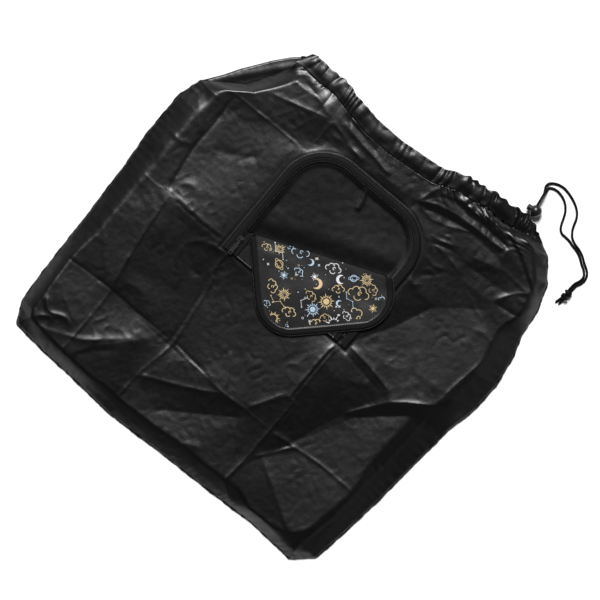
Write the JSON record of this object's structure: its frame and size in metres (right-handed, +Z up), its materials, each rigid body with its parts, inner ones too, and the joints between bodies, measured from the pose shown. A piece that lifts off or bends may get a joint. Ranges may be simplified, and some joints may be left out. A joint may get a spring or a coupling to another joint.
{
  "type": "laundry bag",
  "caption": "Flat black nylon drawcord laundry bag with a ball cord lock and a zip pocket whose printed flap is folded open on a diagonal.",
  "frame": {"origin": "middle of the bag's outline, on the surface that the back panel lies on", "axes": "+Z up through the front panel, +Y from the bottom seam to the mouth, +X to the bag's right, where the cord lock is"},
  "size_m": [0.56, 0.6052, 0.0304],
  "materials": {
    "nylon": "black nylon taffeta with a soft sheen",
    "seam": "folded nylon seam allowance, overlocked",
    "cord": "round braided polyester cord",
    "lock_plastic": "moulded acetal, satin",
    "spring_steel": "drawn spring wire",
    "zip_tape": "woven polyester zip tape",
    "zip_coil": "nylon coil",
    "print": "black satin lining with a gold, pale blue and white sky print",
    "slider_metal": "black enamelled zinc"
  },
  "bodies": {
    "bag": {"back_panel": "nylon", "front_panel": "nylon", "left_seam": "seam", "right_seam": "seam", "bottom_seam": "seam", "front_hem": "nylon", "rear_hem": "nylon", "drawcord": "cord", "cord_tail_outer": "cord", "cord_tail_inner": "cord", "cord_knot": "cord", "cord_tips": "cord", "zip_tape_pocket": "zip_tape", "zip_coil_pocket": "zip_coil", "flap_root_shell": "nylon", "flap_root_lining": "print", "zip_tape_root": "zip_tape", "zip_coil_root": "zip_coil", "zip_bottom_stop": "zip_coil", "zip_top_stops": "zip_coil"},
    "flap": {"flap_shell": "nylon", "flap_lining": "print", "zip_tape_flap": "zip_tape", "zip_coil_flap": "zip_coil"},
    "slider": {"zip_slider": "slider_metal"},
    "pull": {"zip_pull": "slider_metal"},
    "cord_lock": {"cord_lock_body": "lock_plastic", "cord_lock_spring": "spring_steel"},
    "plunger": {"cord_lock_plunger": "lock_plastic"}
  },
  "joints": [
    {"name": "flap_fold", "type": "hinge", "parent": "bag", "child": "flap", "pos_m": [-0.084, 0.028, 0.0271], "axis": [-0.9239, -0.3827, 0], "range_deg": [0, 180]},
    {"name": "zip_slide", "type": "slide", "parent": "bag", "child": "slider", "axis": [0, 1, 0], "range_m": [0, 0.1]},
    {"name": "zip_pull_swing", "type": "hinge", "parent": "slider", "child": "pull", "pos_m": [-0.0967, 0.0085, 0.02898], "axis": [-1, 0, 0], "range_deg": [0, 170]},
    {"name": "cord_lock_slide", "type": "slide", "parent": "bag", "child": "cord_lock", "axis": [-0.1564, 0.9877, 0], "range_m": [0, 0.012]},
    {"name": "plunger_press", "type": "slide", "parent": "cord_lock", "child": "plunger", "axis": [0.9877, 0.1564, 0], "range_m": [0, 0.0028], "stiffness_N_per_m": 1500, "springref_m": -0.001, "deforming": ["cord_lock_spring"]}
  ]
}
